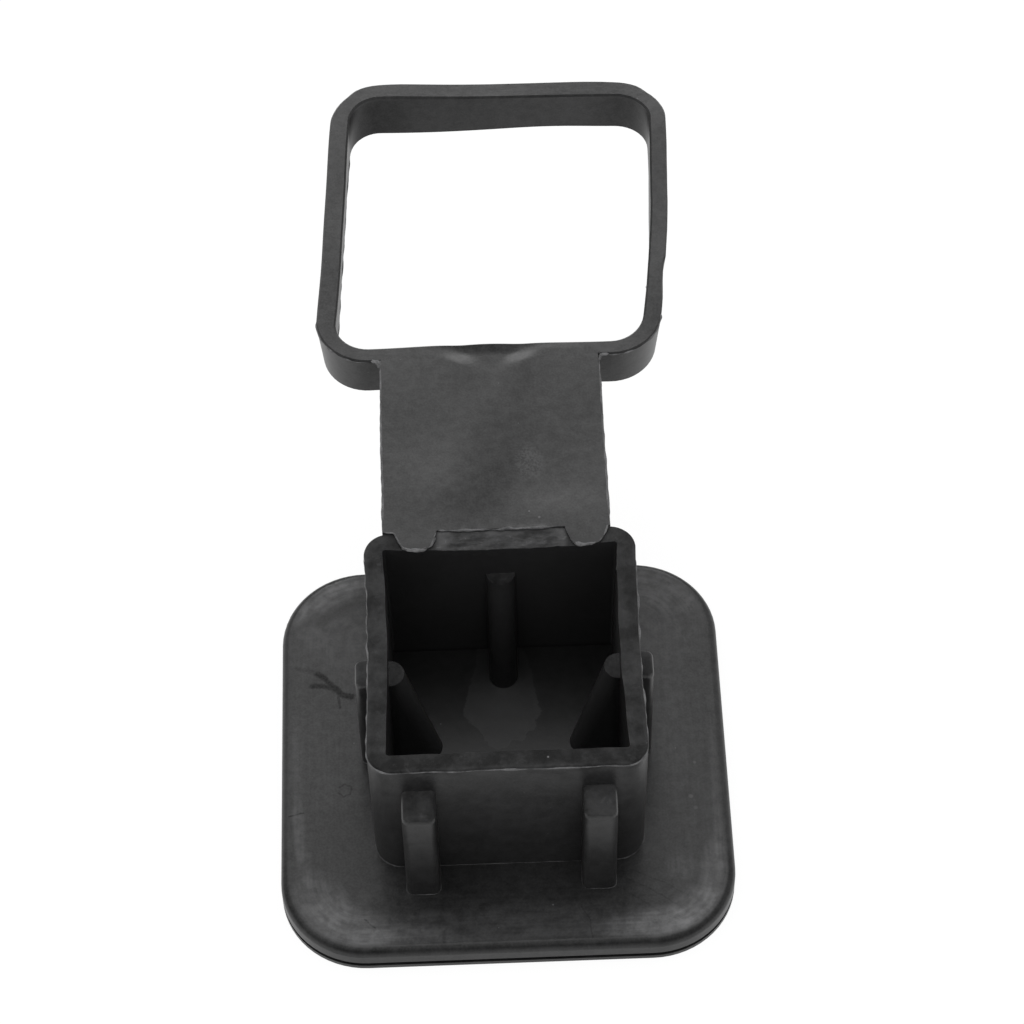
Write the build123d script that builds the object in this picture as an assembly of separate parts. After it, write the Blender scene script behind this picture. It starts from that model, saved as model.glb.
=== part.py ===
from build123d import *
import math
import os

os.makedirs("parts", exist_ok=True)

# Hitch receiver cover, moulded in one piece of rubber and lying on the outer face of its plate.
# The origin is the middle of that face. +Z points out of the plug's mouth, and +Y runs along the
# strap to the ring. All sizes are in millimetres and all angles in degrees.

# Cover plate
plate_side = 78.0
plate_corner_radius = 14.8
plate_thickness = 5.5
plate_edge_radius = 1.5
plate_foot_radius = 0.4
lip_height = 1.2
seam_height = 0.9
seam_depth = 0.6

# Hollow plug that goes into the receiver
plug_width = 46.9
plug_depth = 47.6
plug_side_offset = 0.5
plug_offset = 0.95
rim_height = 37.7
floor_height = 6.1
wall_thickness = 3.3
rim_corner_radius = 4.2
base_corner_radius = 4.8
cavity_corner_radius = 0.5
outer_draft = 0.6
cavity_draft = 1.0
side_bow = 0.6
back_bow = 0.8
rim_edge_radius = 0.35

# Gussets inside the plug, one at the middle of each wall
gusset_count = 4
gusset_width = 5.0
gusset_height = 30.4
gusset_top_reach = 3.2
gusset_foot_reach = 9.0

# Grip ribs outside the plug: two on the front wall and one on each side wall
front_rib_spacing = 30.0
front_rib_width = 5.8
front_rib_reach = 5.2
front_rib_top = 31.4
side_rib_width = 5.4
side_rib_reach = 2.5
side_rib_top = 31.6
rib_top_slope = 13.0
rib_rounding = 1.2

# Strap, moulded level with the rim
strap_width = 39.4
strap_length = 37.15
strap_thickness = 2.6
strap_step = 0.4
strap_draft = 8.0
strap_edge_break = 0.3
lobe_spacing = 29.4
lobe_side_offset = 0.8
lobe_root_width = 7.4
lobe_end_width = 4.6
lobe_rounding = 1.4

# Ring that stretches over the outside of the receiver, not quite true to the strap
ring_near_width = 61.2
ring_far_width = 62.6
ring_depth = 65.5
ring_near_shift = -0.7
ring_far_shift = 3.5
ring_right_bow = 1.4
ring_corner_radius = 9.3
ring_wall = 3.2
ring_height = 9.3
ring_draft = 5.0
ring_edge_break = 0.35

# Places worked out from the sizes above
plug_height = rim_height - plate_thickness
plug_back = plug_offset + plug_depth / 2
strap_top = rim_height + strap_step
ring_near = plug_back + strap_length
ring_far = ring_near + ring_depth
wall_root = wall_thickness / 2


def narrowing(height, draft):
    # How much narrower an outline gets over a height, both of its sides together.
    return 2 * height * math.tan(math.radians(draft))


def wall_line(start, end, bow):
    # One wall of an outline, straight or bowed to its left by the middle of its length.
    straight = Line(start, end)
    if abs(bow) < 0.01:
        return straight
    quarter_turn = straight.tangent_at(0).rotate(Axis.Z, 90)
    return ThreePointArc(start, straight.position_at(0.5) + quarter_turn * bow, end)


def rounded_outline(corners, bows, radius):
    # A closed four-sided outline with rounded corners; each wall has its own bow.
    walls = [wall_line(corners[i], corners[(i + 1) % 4], bows[i]) for i in range(4)]
    face = make_face(walls)
    return fillet(face.vertices(), radius)


def plug_outline(width, depth, radius, bow_of_sides, bow_of_back):
    # Outline of the plug or its cavity; the front wall is straight.
    right = width / 2
    back = depth / 2
    corners = [(-right, -back), (right, -back), (right, back), (-right, back)]
    return rounded_outline(corners, [0, bow_of_sides, bow_of_back, bow_of_sides], radius)


def make_plate():
    # Rounded plate with a soft upper edge and the mould's seam as a groove round its side.
    outline = RectangleRounded(plate_side, plate_side, plate_corner_radius)
    slab = extrude(outline, plate_thickness)
    slab = fillet(slab.faces().sort_by(Axis.Z)[-1].edges(), plate_edge_radius)
    slab = fillet(slab.faces().sort_by(Axis.Z)[0].edges(), plate_foot_radius)
    seam = outline - offset(outline, -seam_depth)
    return slab - Pos(0, 0, lip_height) * extrude(seam, seam_height)


def make_plug_body():
    # The plug's outer form, a little wider at the rim than at the plate.
    lost = narrowing(plug_height, outer_draft)
    base = plug_outline(plug_width - lost, plug_depth - lost, base_corner_radius, 0, 0)
    rim = plug_outline(plug_width, plug_depth, rim_corner_radius, side_bow, 0)
    body = loft([Pos(0, 0, plate_thickness) * base, Pos(0, 0, rim_height) * rim], ruled=True)
    return fillet(body.faces().sort_by(Axis.Z)[-1].edges(), rim_edge_radius)


def make_cavity():
    # The plug's hollow, narrower at its floor, with the side and back walls bowed in at the mouth.
    mouth_width = plug_width - 2 * wall_thickness
    mouth_depth = plug_depth - 2 * wall_thickness
    lost = narrowing(rim_height - floor_height, cavity_draft)
    floor = plug_outline(mouth_width - lost, mouth_depth - lost, cavity_corner_radius, 0, 0)
    mouth = plug_outline(mouth_width, mouth_depth, cavity_corner_radius, side_bow, back_bow)
    return loft([Pos(0, 0, floor_height) * floor, Pos(0, 0, rim_height) * mouth], ruled=True)


def gusset_section(reach):
    # A tongue that starts inside the wall, at x = 0, and ends in a full round nose along +X.
    side = gusset_width / 2
    shoulder = reach - side
    lower = Line((-wall_root, -side), (shoulder, -side))
    nose = ThreePointArc((shoulder, -side), (reach, 0), (shoulder, side))
    upper = Line((shoulder, side), (-wall_root, side))
    root = Line((-wall_root, side), (-wall_root, -side))
    return make_face([lower, nose, upper, root])


def make_gussets():
    # Sloping fins that hold the walls square, wide at the floor and narrow at the top.
    foot = Pos(0, 0, floor_height) * gusset_section(gusset_foot_reach)
    top = Pos(0, 0, gusset_height) * gusset_section(gusset_top_reach)
    gusset = loft([foot, top], ruled=True)
    half_mouth = [plug_width / 2 - wall_thickness, plug_depth / 2 - wall_thickness]
    placed = []
    for index in range(gusset_count):
        inward = Rot(0, 0, 360 * index / gusset_count)
        placed.append(inward * Pos(-half_mouth[index % 2], 0, 0) * gusset)
    return placed


def make_rib(width, reach, top_at_wall):
    # A rib that stands on the plate, with its wall at x = 0 and its nose along +X.
    top_at_nose = top_at_wall - reach * math.tan(math.radians(rib_top_slope))
    profile = Polyline(
        (-wall_root, plate_thickness),
        (reach, plate_thickness),
        (reach, top_at_nose),
        (0, top_at_wall),
        (-wall_root, top_at_wall),
        close=True,
    )
    rib = extrude(make_face(Plane.XZ * profile), width / 2, both=True)
    nose = rib.faces().sort_by(Axis.X)[-1]
    upright = nose.edges().filter_by(Axis.Z)
    rib = fillet(upright, rib_rounding)
    top_edge = rib.faces().filter_by(Plane.YZ).sort_by(Axis.X)[-1].edges().sort_by(Axis.Z)[-1]
    return fillet(top_edge, rib_rounding)


def make_outer_ribs():
    # The ribs that grip the inside of the receiver.
    front_rib = make_rib(front_rib_width, front_rib_reach, front_rib_top)
    side_rib = make_rib(side_rib_width, side_rib_reach, side_rib_top)
    front_wall = plug_depth / 2
    side_wall = plug_width / 2 - side_bow
    ribs = []
    for side in (-1, 1):
        ribs.append(Pos(side * front_rib_spacing / 2, -front_wall, 0) * Rot(0, 0, -90) * front_rib)
        ribs.append(Pos(side * side_wall, 0, 0) * Rot(0, 0, 90 - 90 * side) * side_rib)
    return ribs


def lobe_outline():
    # Plan of a lobe, from its root in the strap, at y = 0, to its narrower end over the rim.
    root = lobe_root_width / 2
    end = lobe_end_width / 2
    lap = wall_thickness + back_bow / 2
    corners = [(-root, lap), (-root, 0), (-end, -lap), (end, -lap), (root, 0), (root, lap)]
    face = make_face(Polyline(*corners, close=True))
    return fillet(face.vertices().group_by(Axis.Y)[0], lobe_rounding)


def make_strap():
    # Flat strap from the back wall to the ring, with two lobes that lap over the back rim.
    start = plug_back - wall_root
    length = ring_near + ring_wall / 2 - start
    outline = Pos(0, start + length / 2) * Rectangle(strap_width, length)
    tongue = extrude(Pos(0, 0, strap_top) * outline, -strap_thickness, taper=strap_draft)
    top_sides = tongue.faces().sort_by(Axis.Z)[-1].edges().filter_by(Axis.Y)
    tongue = chamfer(top_sides, strap_edge_break)
    tongue = tongue - Pos(0, start, rim_height) * Box(
        strap_width,
        2 * wall_root,
        2 * strap_step,
        align=(Align.CENTER, Align.CENTER, Align.MIN),
    )
    lobe = Pos(0, plug_back, strap_top) * extrude(lobe_outline(), -2 * strap_step)
    for side in (-1, 1):
        tongue = tongue + Pos(lobe_side_offset + side * lobe_spacing / 2, 0, 0) * lobe
    return tongue


def make_ring():
    # Rounded square band, whose far side sits off the strap's middle line and right side bulges.
    near_left = ring_near_shift - ring_near_width / 2
    near_right = ring_near_shift + ring_near_width / 2
    far_left = ring_far_shift - ring_far_width / 2
    far_right = ring_far_shift + ring_far_width / 2
    corners = [
        (near_left, ring_near),
        (near_right, ring_near),
        (far_right, ring_far),
        (far_left, ring_far),
    ]
    outline = rounded_outline(corners, [0, -ring_right_bow, 0, 0], ring_corner_radius)
    hole = offset(outline, -ring_wall)
    band = extrude(Pos(0, 0, strap_top) * outline, -ring_height, taper=ring_draft)
    band = band - extrude(Pos(0, 0, strap_top) * hole, -ring_height)
    return chamfer(band.faces().sort_by(Axis.Z)[-1].edges(), ring_edge_break)


def make_cover():
    # Everything is one moulding: plate, plug with its ribs and gussets, strap and ring.
    plug = make_plug_body()
    for rib in make_outer_ribs():
        plug = plug + rib
    plug = plug - make_cavity()
    for gusset in make_gussets():
        plug = plug + gusset
    cover = make_plate() + Pos(plug_side_offset, plug_offset, 0) * plug
    return cover + make_strap() + make_ring()


cover = make_cover()
cover.label = "receiver_cover"
export_step(cover, "parts/receiver_cover.step")
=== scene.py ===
import math

import bmesh
import bpy
import numpy as np
from mathutils import Matrix, Vector


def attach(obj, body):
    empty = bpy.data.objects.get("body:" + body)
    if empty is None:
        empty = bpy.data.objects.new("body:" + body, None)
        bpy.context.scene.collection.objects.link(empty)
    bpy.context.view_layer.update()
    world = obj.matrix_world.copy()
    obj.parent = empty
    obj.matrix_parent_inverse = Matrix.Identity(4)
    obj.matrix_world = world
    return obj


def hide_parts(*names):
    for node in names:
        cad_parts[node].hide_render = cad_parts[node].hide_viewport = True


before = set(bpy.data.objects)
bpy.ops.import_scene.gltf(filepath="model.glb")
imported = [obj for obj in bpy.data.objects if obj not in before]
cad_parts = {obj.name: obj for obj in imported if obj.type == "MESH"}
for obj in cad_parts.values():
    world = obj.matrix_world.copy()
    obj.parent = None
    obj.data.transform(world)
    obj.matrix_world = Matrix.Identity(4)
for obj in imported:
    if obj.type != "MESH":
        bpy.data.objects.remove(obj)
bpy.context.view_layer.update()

mm = 0.001
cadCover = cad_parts["receiver_cover"]
print("frame loaded")


# Places on the cover that the shapes and finishes refer to, in millimetres

cover = {
    "plateHalf": 39.0,
    "plateCorner": 14.8,
    "plugMiddle": (0.5, 0.95),
    "backMiddle": 0.8,       # middle of the rim between the two lobes, along x
    "ringLow": 28.8,         # lower edge of the ring
    "ringHeight": 9.3,
}


# Small tools for meshes and arrays of points

def addObject(name, data):
    item = bpy.data.objects.new(name, data)
    bpy.context.scene.collection.objects.link(item)
    return item


def readArray(items, field):
    # A vector field of a mesh's points, faces or corners, as rows of three numbers
    values = np.zeros(len(items) * 3)
    items.foreach_get(field, values)
    return values.reshape(-1, 3)


def ease(values, low, high):
    # Rises smoothly from 0 at low to 1 at high; low may be the larger one
    t = np.clip((values - low) / (high - low), 0.0, 1.0)
    return t * t * (3.0 - 2.0 * t)


def bell(values, centre, width):
    return np.exp(-((values - centre) / width) ** 2)


def waves(points, length, seed, count=12):
    # Smooth random vector field: a sum of sine waves whose directions, phases and sizes are seeded
    dice = np.random.default_rng(seed)
    heading = dice.normal(size=(count, 3))
    heading /= np.linalg.norm(heading, axis=1)[:, None]
    turns = 2 * math.pi / (length * dice.uniform(0.7, 1.5, count))
    phase = dice.uniform(0, 2 * math.pi, (count, 3))
    size = dice.normal(size=(count, 3)) / math.sqrt(count)
    angle = points @ (heading * turns[:, None]).T
    return (np.sin(angle[:, :, None] + phase[None]) * size[None]).sum(axis=1)


def resample(path, step):
    # The same line with evenly spaced points, by its running length
    leg = np.linalg.norm(np.diff(path, axis=0), axis=1)
    run = np.concatenate([[0.0], np.cumsum(leg)])
    count = max(int(run[-1] / step), 2) + 1
    even = np.linspace(0.0, run[-1], count)
    return np.stack([np.interp(even, run, path[:, k]) for k in range(3)], axis=1)


# How the moulding has settled: rubber is never as straight as its drawing

settleLook = {
    "armWave": 0.13,       # sideways wander of the strap and ring
    "armLength": 26.0,
    "rimWave": 0.05,
    "rimLength": 7.0,
    "tornWave": 0.16,      # torn face between the lobes
    "tornLength": 1.7,
    "tornOutward": 0.6,    # share of it along y
    "dip": 0.09,           # slope at which the strap's end falls off at the ring's hole
    "dipCentre": 3.5,
    "dipWidth": 10.5,
    "dipStart": 63.6,
    "dipSoftness": 0.02,
    "swellings": [(-5.4, 2.6), (5.3, 2.9)],  # centre along x and width of the two low swellings
    "swell": 0.20,
    "scoop": 0.42,         # the scoops behind them
    "bend": 0.38,          # they start nearer the plug in the middle
    "bendCentre": 4.8,
    "notch": 0.32,         # step in the ring's right outer side
    "farLeft": 0.95,       # how far the ring's far left corner has stretched
    "farLean": 0.50,       # how far the inner walls lean in at the top
    "leftLean": 0.42,
    "leftNick": 0.22,      # torn spots along the rim's edges
    "rightNick": 0.35,
    "nickLength": (3.2, 2.0),
    "seeds": {"arm": 11, "rim": 23, "tornUp": 31, "tornOut": 37, "leftNick": 41, "rightNick": 43},
}


def settle(points):
    # Moves points of the surface: wander, sag, swellings and torn edges, each faded in by place
    look = settleLook
    seeds = look["seeds"]
    x, y, z = points[:, 0], points[:, 1], points[:, 2]
    moved = points.copy()

    arm = ease(y, 25.0, 34.0) * ease(z, 15.0, 27.0)
    moved += look["armWave"] * arm[:, None] * waves(points, look["armLength"], seeds["arm"])
    rim = ease(z, 35.2, 37.2) * ease(y, 27.0, 24.6)
    wander = waves(points, look["rimLength"], seeds["rim"])
    wander[:, 2] *= 0.5
    moved += look["rimWave"] * rim[:, None] * wander
    torn = rim * ease(y, 20.2, 21.2) * ease(y, 24.9, 24.4) * ease(np.abs(x - cover["backMiddle"]), 10.6, 9.8)
    moved[:, 2] += look["tornWave"] * torn * waves(points, look["tornLength"], seeds["tornUp"])[:, 2]
    outward = look["tornOutward"] * look["tornWave"] * torn
    moved[:, 1] += outward * waves(points, look["tornLength"], seeds["tornOut"])[:, 1]

    # The strap's end: level, a soft bend, then straight down, with the swellings and scoops before it
    nearHole = ease(z, 34.5, 37.9) * ease(y, 66.6, 65.4)
    fall = y - look["dipStart"]
    fall = 0.5 * (fall + np.sqrt(fall * fall + look["dipSoftness"]))
    moved[:, 2] -= look["dip"] * nearHole * bell(x, look["dipCentre"], look["dipWidth"]) * fall
    swellings = sum(bell(x, centre, width) for centre, width in look["swellings"])
    bent = y - look["bend"] * (np.abs(x) - look["bendCentre"])
    rise = look["swell"] * ease(bent, 53.0, 60.0) - look["scoop"] * ease(bent, 60.2, 63.4)
    moved[:, 2] += nearHole * swellings * rise

    # The ring: a notch, a stretched corner and leaning walls; tall is 0 at its lower edge and 1 at its top
    moved[:, 0] -= look["notch"] * ease(x, 31.0, 32.0) * ease(y, 83.9, 83.1) * ease(y, 72.0, 80.0)
    tall = np.clip((z - cover["ringLow"]) / cover["ringHeight"], 0.0, 1.0)
    moved[:, 1] += look["farLeft"] * tall * ease(y, 98.0, 124.0) * ease(x, 18.0, -18.0)
    moved[:, 1] -= look["farLean"] * tall * ease(y, 117.0, 122.0) * ease(y, 126.4, 124.9)
    fromLeftWall = x + 28.1 - 3.5 * (y - 61.9) / 65.5  # this wall runs 3.5 inwards over its length of 65.5
    onLeftWall = ease(fromLeftWall, -2.2, -0.6) * ease(x, 0.0, -12.0)
    moved[:, 0] += look["leftLean"] * tall * onLeftWall * ease(y, 66.0, 74.0) * ease(y, 125.0, 117.0)

    # Nicks in the rim's left and right edges
    leftEdge = ease(x, -21.6, -22.6) * ease(z, 35.9, 37.3) * ease(y, -4.0, 1.0) * ease(y, 17.0, 13.0)
    bites = waves(points, look["nickLength"][0], seeds["leftNick"])[:, 0]
    moved[:, 0] += look["leftNick"] * leftEdge * np.clip(bites * 1.4, -0.5, 1.0)
    rightEdge = ease(x, 21.4, 20.6) * ease(x, 19.0, 20.2)
    rightEdge *= ease(z, 36.2, 37.4) * ease(y, 14.5, 16.0) * ease(y, 20.0, 18.5)
    bites = waves(points, look["nickLength"][1], seeds["rightNick"])[:, 0]
    moved[:, 0] -= look["rightNick"] * rightEdge * np.clip(bites + 0.2, 0, 1)
    return moved


def settleNormals(points, normals):
    # A normal turns with its surface: it is divided by the slopes of settle(), over a small step each way
    step = 0.02
    steps = step * np.eye(3)
    slopes = [(settle(points + ahead) - settle(points - ahead)) / (2 * step) for ahead in steps]
    return np.linalg.solve(np.stack(slopes, axis=1), normals[:, :, None])[:, :, 0]


# Small tools for materials

def joinInput(tree, value, socket):
    if isinstance(value, bpy.types.NodeSocket):
        tree.links.new(value, socket)
    else:
        socket.default_value = value


def calc(tree, operation, first, second=0.0, clamp=False):
    node = tree.nodes.new("ShaderNodeMath")
    node.operation = operation
    node.use_clamp = clamp
    joinInput(tree, first, node.inputs[0])
    joinInput(tree, second, node.inputs[1])
    return node.outputs[0]


def total(tree, values, operation="ADD"):
    result = values[0]
    for value in values[1:]:
        result = calc(tree, operation, result, value)
    return result


def plus(tree, *values):
    return total(tree, values)


def times(tree, *values):
    return total(tree, values, "MULTIPLY")


def minus(tree, first, second):
    return calc(tree, "SUBTRACT", first, second)


def distance(tree, value, centre):
    return calc(tree, "ABSOLUTE", minus(tree, value, centre))


def fade(tree, value, low, high, start=0.0, end=1.0):
    # Smooth step of a value from low to high
    node = tree.nodes.new("ShaderNodeMapRange")
    node.interpolation_type = "SMOOTHSTEP"
    if low > high:
        low, high, start, end = high, low, end, start
    joinInput(tree, value, node.inputs["Value"])
    node.inputs["From Min"].default_value = low
    node.inputs["From Max"].default_value = high
    node.inputs["To Min"].default_value = start
    node.inputs["To Max"].default_value = end
    return node.outputs["Result"]


def between(tree, value, low, lowFull, highFull, high):
    # 0 up to low, 1 from lowFull to highFull, and 0 again from high
    return times(tree, fade(tree, value, low, lowFull), fade(tree, value, high, highFull))


def scatter(tree, place, scale, detail=2.0, roughness=0.5):
    # Noise from about -1 to 1
    node = tree.nodes.new("ShaderNodeTexNoise")
    joinInput(tree, place, node.inputs["Vector"])
    node.inputs["Scale"].default_value = scale
    node.inputs["Detail"].default_value = detail
    node.inputs["Roughness"].default_value = roughness
    return fade(tree, node.outputs["Fac"], 0.25, 0.75, -1.0, 1.0)


def stretched(tree, place, scale):
    node = tree.nodes.new("ShaderNodeMapping")
    joinInput(tree, place, node.inputs["Vector"])
    node.inputs["Scale"].default_value = scale
    return node.outputs["Vector"]


def vectorCalc(tree, operation, first, second=None, scale=None):
    node = tree.nodes.new("ShaderNodeVectorMath")
    node.operation = operation
    joinInput(tree, first, node.inputs[0])
    if second is not None:
        joinInput(tree, second, node.inputs[1])
    if scale is not None:
        joinInput(tree, scale, node.inputs["Scale"])
    return node.outputs["Value" if operation in ("DOT_PRODUCT", "LENGTH", "DISTANCE") else "Vector"]


def splitVector(tree, vector):
    node = tree.nodes.new("ShaderNodeSeparateXYZ")
    tree.links.new(vector, node.inputs["Vector"])
    return node.outputs["X"], node.outputs["Y"], node.outputs["Z"]


def ellipse(tree, x, y, centre, radii, turn):
    # 1 at the centre of an ellipse turned by some degrees, 0 at about 1.5 times its radii
    c, s = math.cos(math.radians(turn)), math.sin(math.radians(turn))
    dx = minus(tree, x, centre[0])
    dy = minus(tree, y, centre[1])
    along = plus(tree, times(tree, dx, c / radii[0]), times(tree, dy, s / radii[0]))
    across = minus(tree, times(tree, dy, c / radii[1]), times(tree, dx, s / radii[1]))
    reach = plus(tree, times(tree, along, along), times(tree, across, across))
    return fade(tree, reach, 2.4, 0.0)


def ellipses(tree, x, y, spots):
    return total(tree, [times(tree, ellipse(tree, x, y, *spot[:3]), spot[3]) for spot in spots])


def stroke(tree, place, start, end, width):
    # 1 on a short line and 0 past its width, by the distance to the nearest point of the line
    leg = Vector((end[0] - start[0], end[1] - start[1], 0))
    away = vectorCalc(tree, "SUBTRACT", place, (start[0], start[1], 0))
    share = vectorCalc(tree, "DOT_PRODUCT", away, tuple(leg / leg.length_squared))
    nearest = vectorCalc(tree, "SCALE", tuple(leg), scale=calc(tree, "MULTIPLY", share, 1.0, True))
    return fade(tree, vectorCalc(tree, "DISTANCE", away, nearest), width, width * 0.25)


def clearTree(owner):
    owner.use_nodes = True
    owner.node_tree.nodes.clear()
    return owner.node_tree


def startMaterial(name):
    material = bpy.data.materials.new(name)
    tree = clearTree(material)
    coords = tree.nodes.new("ShaderNodeTexCoord")
    place = vectorCalc(tree, "SCALE", coords.outputs["Object"], scale=1 / mm)  # in millimetres
    return material, tree, place


blueShare = 1.02  # the rubber is a neutral grey with a trace of blue


def finishMaterial(tree, grey, roughness, specular, height):
    # The height, in metres, becomes bumps
    shader = tree.nodes.new("ShaderNodeBsdfPrincipled")
    colour = tree.nodes.new("ShaderNodeCombineColor")
    joinInput(tree, grey, colour.inputs[0])
    joinInput(tree, grey, colour.inputs[1])
    joinInput(tree, times(tree, grey, blueShare), colour.inputs[2])
    tree.links.new(colour.outputs["Color"], shader.inputs["Base Color"])
    joinInput(tree, roughness, shader.inputs["Roughness"])
    joinInput(tree, specular, shader.inputs["Specular IOR Level"])
    bump = tree.nodes.new("ShaderNodeBump")
    bump.inputs["Distance"].default_value = 1.0
    bump.inputs["Strength"].default_value = 1.0
    joinInput(tree, height, bump.inputs["Height"])
    tree.links.new(bump.outputs["Normal"], shader.inputs["Normal"])
    out = tree.nodes.new("ShaderNodeOutputMaterial")
    tree.links.new(shader.outputs["BSDF"], out.inputs["Surface"])


# The rubber. Tones are added greys, and the places in the fades are millimetres on the cover

rubberLook = {
    "clean": 0.0125,        # grey of the clean rubber
    "darkest": 0.002,
    "clouds": 0.0025,       # broad uneven tone
    "mottle": 0.0025,       # tone over a millimetre or two
    "grain": 0.0015,
    "roughness": 0.325,     # stays above 0.285: below that the denoiser takes the surface for a mirror
    "roughClouds": 0.010,
    "roughMottle": 0.015,
    "roughGrain": 0.010,
    "specular": 0.50,
    "glossMottle": 0.07,    # share of the gloss that wanders over a millimetre or two
    "glossGrain": 0.07,
    "grainHeight": 0.0014 * mm,
    "mottleHeight": 0.006 * mm,
    "streakTone": 0.0030,
    "streakShare": 0.24,    # how far the streaks break up the clouds
    "scuffTone": -0.010,
    "scuffWobble": 0.12,    # how far the rubbed lines wander, in millimetres
    "scuffDullness": 0.50,  # share of the gloss that a dark scuff loses
    "scuffRoughness": 0.12,
    "edgeTone": -0.0045,    # a dark line on the rounding of the plate's front edge
    "edgeDullness": 0.38,
    "smudge": ((6.2, 38.8), (2.0, 3.0), 10),  # a pale place on the strap
    "smudgeTone": 0.018,
    "darkReflection": ((0.5, 65.4), (8.4, 2.1), 1),  # a painted dark reflection on the strap at the ring's hole
    "darkReflectionTone": -0.0050,
    "darkReflectionDullness": 0.78,
    "ringDullness": 0.15,   # the ring's top is a little duller than the strap
    # painted dark reflection at the ends of the ring's far wall
    "ringEndReflectionTone": -0.0060,
    "ringEndReflectionDullness": 0.22,
    "speckTone": 0.16,
}

# Dull or pale places on the plate, partly marks and partly painted reflection of the studio, each an ellipse:
# (centre x, y), (radius x, y), turn in degrees, added grey
plateMarksAndReflections = [
    ((-31.8, -29.4), (3.6, 5.4), 28, 0.030),
    ((-27.2, -33.6), (6.6, 3.4), -24, 0.038),
    ((-19.0, -36.2), (8.0, 2.2), 2, 0.022),
    ((25.4, -35.4), (8.0, 2.6), 4, 0.060),
    ((31.4, -32.6), (4.6, 3.0), 42, 0.042),
    ((35.1, -26.4), (2.0, 6.2), -6, 0.034),
    ((29.6, -24.3), (2.2, 2.2), 0, 0.016),
    ((-35.9, -14.5), (0.9, 5.6), 4, 0.026),
    ((-36.3, 0.0), (1.0, 6.0), 0, 0.012),
    ((-34.8, -22.0), (1.1, 4.0), 10, 0.014),
    ((36.5, -17.0), (0.7, 7.5), 0, 0.018),
    ((36.6, -4.0), (0.7, 7.0), 0, 0.010),
    ((30.0, 4.0), (2.4, 12.0), 0, 0.008),
    ((-31.0, 34.6), (9.0, 3.0), 30, 0.047),
    ((-27.5, 36.6), (6.0, 1.6), 6, 0.026),
    ((-35.6, 29.0), (2.0, 6.0), 24, 0.014),
    ((29.0, 33.6), (10.0, 4.0), -18, 0.028),
    ((-28.0, 24.0), (5.0, 7.0), 20, 0.012),
    ((28.5, 24.0), (7.0, 6.0), 0, 0.010),
    ((-31.0, 29.4), (5.0, 1.3), 24, -0.012),
    ((0.0, -35.0), (22.0, 3.8), 0, 0.014),
    ((-29.0, -14.0), (4.5, 3.6), 30, -0.007),
    ((-28.0, -22.0), (5.0, 4.0), -20, -0.006),
]

# Rubbed lines on the plate: points, width, strength
plateStrokes = [
    ([(-36.3, 18.5), (-34.4, 18.0), (-32.6, 17.2)], 0.70, 0.35),
    ([(-32.6, 17.2), (-31.2, 16.0), (-29.9, 14.4), (-28.4, 12.8), (-26.7, 12.1)], 0.90, 1.0),
    ([(-33.7, 14.6), (-31.8, 14.6), (-30.1, 14.1), (-28.5, 12.8)], 0.70, 0.95),
    ([(-28.9, 13.1), (-28.7, 10.0)], 0.40, 0.7),
    ([(-37.6, -11.8), (-35.1, -11.2)], 0.22, 0.9),
    ([(-24.6, -32.4), (-23.0, -34.2)], 0.24, 0.9),
    ([(12.2, -31.2), (13.6, -34.2), (13.9, -37.4)], 0.20, 0.6),
    ([(-11.2, -35.3), (-11.3, -37.2)], 0.50, 0.7),
    ([(19.6, -26.0), (24.6, -28.8), (29.8, -32.6)], 0.26, 0.26),
    ([(21.8, -25.0), (27.0, -27.6), (30.6, -30.2)], 0.24, 0.22),
    ([(18.2, -27.6), (22.0, -30.2), (26.4, -33.6)], 0.24, 0.22),
    ([(-28.9, -6.4), (-27.9, -5.7), (-26.8, -6.4), (-26.9, -7.7), (-28.1, -8.2), (-29.1, -7.4)], 0.26, 0.55),
]

# Duller places on the strap: (centre x, y), (radius x, y), turn in degrees, share of gloss lost
strapClouds = [
    ((0.0, 41.0), (5.0, 12.0), -18, 0.24),
    ((-4.0, 33.0), (6.0, 6.0), 0, 0.10),
    ((7.6, 55.0), (3.0, 6.0), -14, 0.05),
]

# Pale specks: place, radius, strength
paleSpecks = [
    ((29.7, 122.6, 38.1), 0.20, 1.0), ((29.1, 122.9, 38.1), 0.13, 1.0), ((-29.1, 85.2, 38.1), 0.16, 0.8),
    ((33.1, 97.0, 38.1), 0.10, 0.8), ((31.0, 80.9, 38.1), 0.10, 0.8), ((21.3, 124.2, 34.5), 0.14, 0.7),
    ((25.3, 124.2, 35.7), 0.12, 0.7), ((7.1, -20.9, 37.7), 0.22, 0.9), ((12.3, 48.1, 38.1), 0.18, 0.4),
    ((11.9, 38.6, 38.1), 0.22, 0.8), ((7.5, 26.9, 38.1), 0.30, 0.35), ((5.8, 28.2, 38.1), 0.14, 0.8),
    ((4.6, 47.2, 38.1), 0.14, 0.6), ((-4.2, 29.9, 38.1), 0.12, 0.7), ((7.4, -30.9, 5.5), 0.22, 0.4),
    ((32.2, -10.6, 5.5), 0.55, 0.20), ((32.9, -12.9, 5.5), 0.50, 0.16), ((33.3, -3.8, 5.5), 0.40, 0.16),
    ((-10.9, 5.5, 6.1), 0.16, 0.6), ((-17.4, 21.0, 31.9), 0.16, 0.6),
]

# A thin random sowing of smaller specks: cells per millimetre, their size in cells, strength
sownSpecks = {"cells": 0.32, "reach": 0.035, "core": 0.018, "strength": 0.45, "chosen": (0.62, 0.66)}


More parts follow.
